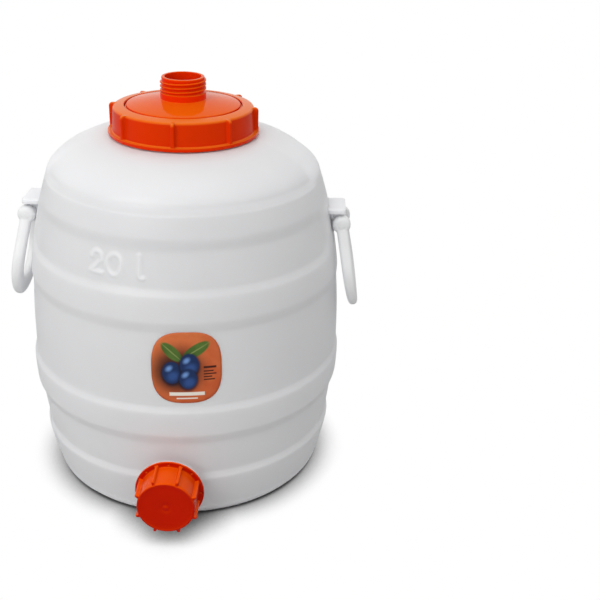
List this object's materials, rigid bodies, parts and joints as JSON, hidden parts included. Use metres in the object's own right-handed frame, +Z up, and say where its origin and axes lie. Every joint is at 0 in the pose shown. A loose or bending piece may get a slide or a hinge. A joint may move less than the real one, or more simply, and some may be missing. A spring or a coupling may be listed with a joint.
{
  "type": "fermenting barrel",
  "caption": "Squat white plastic fermenting barrel with banded walls, an orange ribbed screw lid with an open threaded spigot, a capped drain spout and two side bail handles.",
  "frame": {"origin": "centre of the base, on the floor", "axes": "+Z up along the barrel's axis; the drain spout points to -Y; the handles are at +X and -X"},
  "size_m": [0.3474, 0.3402, 0.3964],
  "materials": {
    "white_plastic": "satin, milky and slightly translucent",
    "orange_plastic": "gloss",
    "handle_plastic": "satin",
    "seal_rubber": "matt",
    "label_film": "printed film"
  },
  "bodies": {
    "barrel": {"barrel_body": "white_plastic", "front_label": "label_film"},
    "lid_insert": {"lid_disc": "orange_plastic", "lid_gasket": "seal_rubber"},
    "lid_ring": {"lid_screw_ring": "orange_plastic"},
    "drain_seal": {"drain_gasket": "seal_rubber"},
    "drain_cap": {"drain_cap": "orange_plastic"},
    "handle_left": {"handle_left": "handle_plastic"},
    "handle_right": {"handle_right": "handle_plastic"}
  },
  "joints": [
    {"name": "lid_lift", "type": "slide", "parent": "barrel", "child": "lid_insert", "axis": [0, 0, 1], "range_m": [0, 0.0281]},
    {"name": "lid_ring_turn", "type": "hinge", "parent": "lid_insert", "child": "lid_ring", "pos_m": [0, 0, 0.357], "axis": [0, 0, 1], "range_deg": [0, 1440]},
    {"name": "drain_draw", "type": "slide", "parent": "barrel", "child": "drain_seal", "axis": [0, -1, 0], "range_m": [0, 0.0241]},
    {"name": "drain_cap_turn", "type": "hinge", "parent": "drain_seal", "child": "drain_cap", "pos_m": [0, -0.171, 0.0448], "axis": [0, -1, 0], "range_deg": [0, 1440]},
    {"name": "handle_left_swing", "type": "hinge", "parent": "barrel", "child": "handle_left", "pos_m": [-0.153, 0, 0.2605], "axis": [0, 1, 0], "range_deg": [-4.5, 120]},
    {"name": "handle_right_swing", "type": "hinge", "parent": "barrel", "child": "handle_right", "pos_m": [0.153, 0, 0.2605], "axis": [0, -1, 0], "range_deg": [-5, 119.5]}
  ],
  "couplings": [
    {"joint": "lid_lift", "follows": "lid_ring_turn", "m_per_rad": 0.0011141},
    {"joint": "drain_draw", "follows": "drain_cap_turn", "m_per_rad": 0.00095493}
  ]
}
